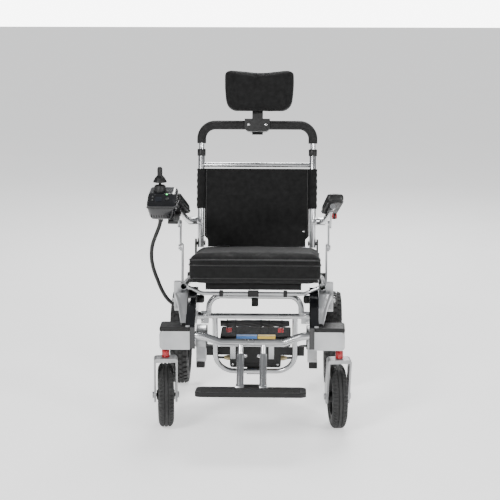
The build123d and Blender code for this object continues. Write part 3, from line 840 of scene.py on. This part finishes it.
def make_bundle():
    """The wiring gathered along the cross tube: six leads, ties and their tails."""
    low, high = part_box("cable_bundle")
    middle, span = (low + high) / 2, (high.x - low.x) / 2 - 0.004
    first = None
    leads, twist = 6, 0.8
    for k in range(leads):
        line = []
        for i in range(40):
            t = i / 39
            angle = 2 * pi * (k / leads + twist * t) + 0.5 * sin(7 * t + k)
            radius = 0.0078 * (1 - 0.25 * abs(2 * t - 1))
            y, z = middle.y + radius * cos(angle), middle.z + radius * sin(angle)
            line.append(Vector((middle.x - span + 2 * span * t, y, z)))
        strand = tube_curve(f"bundle_lead_{k}", line, 4.6)
        strand = add(f"bundle_lead_{k}", strand, "rear_frame", "cable")
        first = first or strand
    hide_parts("cable_bundle")
    for k, x in enumerate((-90, -62, 20, 46, 88)):
        at = Vector((middle.x + x * MM, middle.y, middle.z))
        profile = [(-1.6, 12.2), (-1.6, 13.4), (1.6, 13.4), (1.6, 12.2), (-1.6, 12.2)]
        band = lathe("tie", profile, at, (1, 0, 0), 40)
        add(f"bundle_tie_{k}", band, "rear_frame", "cable", material=MATERIALS["black_plastic"])
        hang = ((0, -0.013, -0.002), (0.002, -0.0145, -0.014), (-0.001 * k, -0.012, -0.026 - 0.003 * (k % 3)))
        tail = tube_curve("tail", [at + Vector(step) for step in hang], 1.1)
        add(f"bundle_tail_{k}", tail, "rear_frame", "cable", material=MATERIALS["black_plastic"])


# wheels ----------------------------------------------------------------------


def wheel_frame(joint):
    """The wheel's middle, its axis and two directions across it."""
    centre, axis = Vector(JOINTS[joint]["pos_m"]), Vector(JOINTS[joint]["axis"]).normalized()
    up = Vector((0, 0, 1))
    return centre, axis, axis.cross(up).normalized(), up


def make_caster_tyre(name):
    """A solid tyre with two grooves round it and notched shoulders."""
    centre, axis, out, up = wheel_frame(f"caster_roll_{name}")
    half = [
        (0, 100), (4, 100), (4.6, 97.2), (7, 97.2), (7.6, 99.9), (13, 99.2),
        (17.5, 96.2), (20.5, 92), (23, 86), (24, 79), (23.4, 72), (20.2, 66),
    ]
    profile = [(-a, r) for a, r in reversed(half)] + half[1:] + [(14, 64.5), (-14, 64.5)]
    steps = 288
    points = []
    for i in range(steps):
        angle = 2 * pi * i / steps
        ray = out * cos(angle) + up * sin(angle)
        notch = 2.4 if i % 6 in (0, 1) else 0
        for a, r in profile:
            cut = notch if 12 < abs(a) < 21 and r > 90 else 0
            points.append(centre + axis * (a * MM) + ray * ((r - cut) * MM))
    mesh = mesh_of("tyre", points, grid_faces(steps, len(profile), True, True))
    weld(mesh, FINE_WELD)
    tyre = add(f"caster_tread_{name}", mesh, f"caster_wheel_{name}", "tyre", smooth=False)
    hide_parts(f"caster_tyre_{name}")


TREAD_SHOULDER = 12
TREAD_FACES = ((4, 5, 6, 7), (0, 1, 5, 4), (1, 2, 6, 5), (2, 3, 7, 6), (3, 0, 4, 7), (3, 2, 1, 0))
SPOKE_FACES = ((0, 1, 2, 3), (4, 7, 6, 5), (0, 4, 5, 1), (1, 5, 6, 2), (2, 6, 7, 3), (3, 7, 4, 0))


def tread_radius(a, top):
    """The radius of a tread block's top or root, a millimetres from the tyre's middle."""
    shoulder = abs(a) > TREAD_SHOULDER
    if not top:
        return 145 if shoulder else 151
    if not shoulder:
        return 158.3 - 0.010 * a * a
    return 158 if abs(a) < 18 else 152.0 + (27.5 - abs(a)) * 0.6


def make_rear_tyre(name):
    """A drive tyre: a round carcass with rows of tread blocks cut on the slant."""
    centre, axis, out, up = wheel_frame(f"wheel_roll_{name}")
    side = 1 if name == "left" else -1
    half = [
        (0, 153.5), (9, 153.2), (18, 150.8), (24, 146.5),
        (28.5, 138), (29.6, 130), (27.6, 120), (21.6, 112),
    ]
    profile = [(-a, r) for a, r in reversed(half)] + half[1:] + [(15, 110), (-15, 110)]
    mesh = lathe("tyre", profile + [profile[0]], centre, axis, 160)
    carcass = add(f"rear_carcass_{name}", mesh, f"rear_wheel_{name}", "tyre")
    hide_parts(f"rear_tyre_{name}")
    rows = ((-27.5, -14, 0.0), (-10.5, -1.5, 0.5), (1.5, 10.5, 0.0), (14, 27.5, 0.5))
    count, points, faces = 44, [], []
    for x0, x1, shift in rows:
        for i in range(count):
            start = len(points)
            for top in (0, 1):
                for a, b in ((x0, -0.33), (x1, -0.33), (x1, 0.33), (x0, 0.33)):
                    squeeze = 0.86 if top else 1.0
                    mid = (x0 + x1) / 2
                    a = mid + (a - mid) * squeeze
                    angle = 2 * pi * (i + shift + b * squeeze + side * 0.012 * a) / count
                    ray = out * cos(angle) + up * sin(angle)
                    points.append(centre + axis * (a * MM) + ray * (tread_radius(a, top) * MM))
            faces += [tuple(start + k for k in f) for f in TREAD_FACES]
    mesh = mesh_of("blocks", points, faces)
    weld(mesh, FINE_WELD)
    add(f"rear_tread_{name}", mesh, f"rear_wheel_{name}", "tyre", smooth=False)


def make_wheel_face(name, joint, body, face, r0, r1, count, slot):
    """Raised spokes on both sides of a wheel."""
    centre, axis, out, up = wheel_frame(joint)
    for side in (-1, 1):
        points, faces = [], []
        for i in range(count):
            angle = 2 * pi * i / count
            ray = out * cos(angle) + up * sin(angle)
            across = axis.cross(ray)
            start = len(points)
            for top in (0, 1):
                for r, w in ((r0, 9), (r0, -9), (r1, -5.5), (r1, 5.5)):
                    lift = face + (4.5 if top else -2) + (3 if r == r0 else 0)
                    base = centre + axis * (side * lift * MM) + ray * (r * MM)
                    points.append(base + across * (w * (0.7 if top else 1) * MM))
            faces += [tuple(start + k for k in f) for f in SPOKE_FACES]
        mesh = mesh_of("spokes", points, faces)
        weld(mesh, FINE_WELD)
        tag = "a" if side < 0 else "b"
        add(f"{name}_spokes_{tag}", mesh, body, slot, smooth=False)


# small hardware ---------------------------------------------------------------


def make_battery_labels():
    """Two blank labels and two catches on the battery's front."""
    low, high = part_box("battery_pack")
    mid = (low.x + high.x) / 2

    def on_front(side):
        def place(x, y, z):
            return Vector((mid + side * x * MM, low.y + y * MM, low.z + z * MM))

        return place

    for name, x0, x1, material in (("blue", -62, 6, LABEL_BLUE), ("yellow", 8, 66, LABEL_YELLOW)):
        block(
            f"battery_label_{name}", (x0, x1), (-0.8, 22), (7, 35.7),
            "battery", "battery", on_front(1), 0.6, material,
        )
    for side, name in ((-1, "right"), (1, "left")):
        block(
            f"battery_catch_{name}", (84, 112), (-3, 2), (8, 27),
            "battery", "battery", on_front(side), 1.2, MATERIALS["black_plastic"],
        )


def make_hardware():
    """Clamps, knobs, screws and brackets too small to be parts of their own."""
    plastic, silver, rear = "black_plastic", "silver_casting", "rear_frame"
    forward = (0, -1, 0)
    for k, (x, half) in enumerate(((-100, 6), (0, 17), (100, 6))):
        block(f"seat_clamp_{k}", (x - half, x + half), (32, 52), (-46, -26), "seat_frame", plastic, seat, 2.5)
    block("hinge_block", (-11, 11), (249, 265), (324, 351), rear, plastic, chair, 2)
    for side, name in ((1, "left"), (-1, "right")):
        knob = [(-0.4, 0), (-0.4, 12.4), (3, 13), (12, 13), (16.5, 11), (18, 7), (18, 0)]
        mesh = lathe("knob", knob, chair(side * 174.6, HUB_Y, HUB_Z), (-side, 0, 0), 40)
        add(f"hub_knob_{name}", mesh, "seat_frame", plastic)
        screw(f"headrest_screw_{name}", back(side * 29, -18.8, HANDLE_TOP), BACK_FORWARD, 5.2, 4, "handle")
        screw(f"footrest_bolt_{name}", chair(side * 20, -72, 248), forward, 5, 4, "front_frame")
        x = side * 150
        block(f"gusset_{name}", (x - 11, x + 11), (296, 306), (146, 178), rear, plastic, chair, 2)
        x = side * 163
        block(f"tube_bracket_{name}", (x - 13, x + 13), (248, 264), (266, 306), rear, silver, chair, 3)
        screw(f"bracket_bolt_a_{name}", chair(side * 163, 248, 296), forward, 5, 4, rear)
        screw(f"bracket_bolt_b_{name}", chair(side * 170, 248, 274), forward, 5, 4, rear)
        low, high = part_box(f"latch_knob_{name}")
        centre = Vector(((low.x + high.x) / 2 + side * 0.003, (low.y + high.y) / 2, (low.z + high.z) / 2))
        ring = lathe("ring", [(-3, 8), (-3, 9.8), (3, 9.8), (3, 8), (-3, 8)], centre, (side, 0, 0), 40)
        add(f"latch_ring_{name}", ring, f"latch_{name}", plastic)
        hub = Vector(JOINTS[f"wheel_roll_{name}"]["pos_m"])
        cap = [(-1, 0), (-1, 15), (5, 14), (8, 10), (8, 0)]
        cap = lathe("cap", cap, hub + Vector((side * 0.028, 0, 0)), (side, 0, 0), 48)
        add(f"axle_cap_{name}", cap, f"rear_wheel_{name}", "bolt")
        nuts, nut_circle = 5, 0.028
        for k in range(nuts):
            angle = 2 * pi * (k + 0.5) / nuts
            at = hub + Vector((side * 0.0225, nut_circle * cos(angle), nut_circle * sin(angle)))
            screw(f"wheel_nut_{name}_{k}", at, (side, 0, 0), 5, 6, f"rear_wheel_{name}")
    for k, (x, z) in enumerate(((-74, 115), (74, 115), (-74, 166), (74, 166))):
        screw(f"box_screw_{k}", chair(x, 301.8, z), forward, 3.6, 2.2, rear)
    ring = [chair(x, 301.6, 140 + z) for x, z in evenly(rounded_outline(66, 22, 8, 5), 6)]
    add("box_lid_seam", ring_curve("lid", ring, 1.2), rear, "rubber")


def make_controller():
    """The hand control's moulded shell, its fins, lamp and keys, and the joystick's bellows."""
    mid_x, mid_y, mid_z = -279, 50, 700
    half_x, half_y, half_z = 45, 72, 41

    def shaped(p):
        y, low = p.y + mid_y, max(0, -p.z / half_z)
        if p.z > 0:
            crest = 704 + 0.696 * (y + 22) if y < 24 else 736 + 0.079 * (y - 24) - 0.35 * max(0, y - 100)
            p.z *= (crest - mid_z) / half_z
            p.x *= 1 - 0.05 * p.z / half_z
        else:
            p.z *= (10 + 33 * min(1, (y + 22) / 27)) / half_z
            p.x *= 1 - 0.24 * low ** 1.4
        return p

    def place(x, y, z):
        return chair(x + mid_x, y + mid_y, z + mid_z)

    mesh = soft_block("shell", (half_x, half_y, half_z), 11, place, shaped, 26)
    shell = add("control_shell", mesh, "arm_right", "black_gloss")
    subdivide_once(shell)
    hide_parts("controller_case")
    skirt = evenly(rounded_outline(half_x + 0.4, half_y + 0.3, 14, 8), 7)
    skirt = [chair(mid_x + x, mid_y + y, mid_z - 3) for x, y in skirt]
    add("control_joint", ring_curve("control_joint", skirt, 1.1), "arm_right", "rubber")

    def down_slope(x, y, z):
        return chair(x, y + (689 - z) * 0.52, z)

    for k in range(9):
        x = -310 + 7.7 * k
        block(
            f"control_fin_{k}", (x - 1.2, x + 1.2), (-16.5, -7), (664, 689),
            "arm_right", "black_gloss", down_slope, 0.8, MATERIALS["black_plastic"],
        )
    outward = panel(0, 0, 1) - panel(0, 0, 0)
    profile = [(-1, 0), (-1, 2.6), (0.8, 2.4), (1.4, 1.2), (1.4, 0)]
    lamp = lathe("lamp", profile, panel(-2, 21, 0.2), outward, 24)
    add("control_lamp", lamp, "arm_right", "display", material=LAMP)
    profile = [(-1, 0), (-1, 4.6), (0.9, 4.4), (1.5, 3.2), (1.5, 0)]
    for k, (x, y) in enumerate(((-45, -5), (-45, 8), (-2, 34))):
        key = lathe("key", profile, panel(x, y, 0.1), outward, 28)
        add(f"control_key_{k}", key, "arm_right", "rubber")
    profile = [
        (3, 14.6), (3, 19.8), (6, 19.9), (9, 20.8), (12, 18.2), (15, 20.2),
        (18, 16.6), (21, 18.4), (24, 15.2), (24.8, 14.6), (3, 14.6),
    ]
    bellows = lathe("bellows", profile, STICK, (0, 0, 1), 64)
    bellows = add("control_bellows", bellows, "arm_right", "rubber")
    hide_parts("joystick_bellows")


def panel(x, y, z):
    """A point on the hand control's sloping panel, from its power button."""
    tilt = radians(34.8)
    return chair(-262 + x, 2 + y * cos(tilt) - z * sin(tilt), 720.7 + y * sin(tilt) + z * cos(tilt))


LEG_EDGE = ((120, 418), (24, 398), (-72, 337))


def leg_arc(share):
    """A point of the leg's upper edge, an arc from the hub to the caster, and its outward direction."""
    (y1, z1), (y2, z2), (y3, z3) = LEG_EDGE
    d = 2 * (y1 * (z2 - z3) + y2 * (z3 - z1) + y3 * (z1 - z2))
    a, b, c = y1 * y1 + z1 * z1, y2 * y2 + z2 * z2, y3 * y3 + z3 * z3
    cy = (a * (z2 - z3) + b * (z3 - z1) + c * (z1 - z2)) / d
    cz = (a * (y3 - y2) + b * (y1 - y3) + c * (y2 - y1)) / d
    first, last = atan2(z1 - cz, y1 - cy), atan2(z3 - cz, y3 - cy)
    radius = sqrt((y1 - cy) ** 2 + (z1 - cz) ** 2)
    angle = first + (last - first) * share
    return cy + radius * cos(angle), cz + radius * sin(angle), cos(angle), sin(angle)


def sweep_edge(name, start, end, section, side, slot):
    """A closed strip along the front leg's upper edge; section(t) gives (x, proud) points."""
    steps, points = 40, []
    for i in range(steps):
        t = i / (steps - 1)
        y, z, ny, nz = leg_arc(start + (end - start) * t)
        outline = section(t)
        points += [chair(side * x, y + ny * r, z + nz * r) for x, r in outline]
    count = len(outline)
    faces = grid_faces(steps, count, wrap_columns=True)
    faces += [tuple(range(count)), tuple(range((steps - 1) * count, steps * count))[::-1]]
    mesh = mesh_of(name, points, faces)
    weld(mesh, FINE_WELD)
    add(name, mesh, "front_frame", slot, smooth=False)


def make_leg_trim(side, name):
    """The silver shell that widens from the caster end to the hub, and the glossy strip inboard of it."""
    leg_out, wall, corner = 204, 2.5, 9

    def shell(t):
        edge = leg_out + (42 - 27 * t ** 0.8)
        outer, inner = [], []
        for k in range(9):
            turn = pi / 2 * k / 8
            for line, radius in ((outer, corner), (inner, corner - wall)):
                line.append((edge - corner + radius * sin(turn), wall - corner + radius * cos(turn)))
        drop = -18 + 8 * t
        return [(leg_out, wall), *outer, (edge, drop), (edge - wall, drop), *inner[::-1], (leg_out, 0)]

    def strip(t):
        return [(177, 0.2), (178.5, 2.2), (202, 2.2), (203.6, 0.2)]

    sweep_edge(f"leg_shell_{name}", 0.26, 0.93, shell, side, "silver_casting")
    sweep_edge(f"leg_strip_{name}", 0.02, 0.97, strip, side, "black_gloss")


def make_footplate_ridges():
    """The foot plate's raised grip lines."""
    hinge = Vector(JOINTS["footplate_fold"]["pos_m"])
    tilt = radians(6.6)

    def place(x, y, z):
        return hinge + Vector(turned(tilt, x, y, z)) * MM

    ridges, pitch, farthest = 8, 9.5, -114
    for k in range(ridges):
        y = farthest + pitch * k
        block(
            f"plate_ridge_{k}", (-148, 148), (y - 1.6, y + 1.6), (6.4, 8.1),
            "footplate", "rubber", place, 0.7,
        )


# room -------------------------------------------------------------------------


def stage_plane(name, corners, rough, dark, light, grain, glow):
    """One flat, faintly mottled surface of the studio that gives off some light of its own."""
    mesh = mesh_of(name, corners, [(0, 1, 2, 3)])
    plane = bpy.data.objects.new(name, mesh)
    bpy.context.scene.collection.objects.link(plane)
    paint = Surface(f"{name}_paint", rough)
    paint.colour(paint.noise(grain, 2), [(0.3, dark), (0.7, light)])
    mesh.materials.append(paint.set(emission_color=(1, 1, 1, 1), emission_strength=glow))
    return plane


LENS, SENSOR = 121.81, 36.0
EYE, EYE_PITCH, EYE_YAW = (0.1591, -5.2712, 1.6349), radians(90 - 11.90), 0.03
AIM = Vector((0, 0, 0.5))


def make_studio():
    """A pale floor and backdrop, four soft lights and the camera."""
    corners = [(-20, -12, 0), (20, -12, 0), (20, 30, 0), (-20, 30, 0)]
    stage_plane("floor", corners, 0.65, (0.76, 0.76, 0.755), (0.8, 0.8, 0.795), 3, 0.85)
    corners = [(-20, 16, 0), (20, 16, 0), (20, 16, 14), (-20, 16, 14)]
    wall = stage_plane("wall", corners, 0.9, grey(0.8), grey(0.84), 2, 7.0)
    wall.visible_glossy = wall.visible_diffuse = False
    world = bpy.data.worlds.new("studio")
    bpy.context.scene.world = world
    world.use_nodes = True
    sky = world.node_tree.nodes["Background"].inputs
    sky["Color"].default_value = (0.92, 0.94, 0.97, 1)
    sky["Strength"].default_value = 0.3
    lights = (
        ("key", (-1.9, -3.2, 2.6), 150, 1.1), ("fill", (2.6, -2.6, 1.6), 80, 0.9),
        ("top", (0.3, 2.0, 3.4), 110, 1.6), ("rim", (0.4, 3.2, 2.2), 40, 1.4),
    )
    for name, at, power, size in lights:
        light = bpy.data.lights.new(name, "AREA")
        light.energy, light.size, light.shape = power, size, "DISK"
        lamp = bpy.data.objects.new(name, light)
        lamp.location = at
        lamp.rotation_euler = (AIM - Vector(at)).to_track_quat("-Z", "Y").to_euler()
        bpy.context.scene.collection.objects.link(lamp)
    camera = bpy.data.cameras.new("camera")
    camera.lens, camera.sensor_width = LENS, SENSOR
    eye = bpy.data.objects.new("camera", camera)
    eye.location = EYE
    eye.rotation_euler = (EYE_PITCH, 0, EYE_YAW)
    bpy.context.scene.collection.objects.link(eye)
    bpy.context.scene.camera = eye


dress_cad()
make_cushion()
make_sling()
make_backrest()
make_headrest()
make_belt()
make_cords()
make_bundle()
make_battery_labels()
make_hardware()
make_controller()
make_footplate_ridges()
for side, name in ((1, "left"), (-1, "right")):
    make_arm_pad(side, name)
    make_leg_trim(side, name)
    make_caster_tyre(name)
    make_rear_tyre(name)
    caster, rear = f"caster_wheel_{name}", f"rear_wheel_{name}"
    make_wheel_face(f"caster_{name}", f"caster_roll_{name}", caster, 6.5, 20, 56, 6, "black_plastic")
    make_wheel_face(f"rear_{name}", f"wheel_roll_{name}", rear, 10.5, 40, 96, 5, "silver_casting")
make_studio()
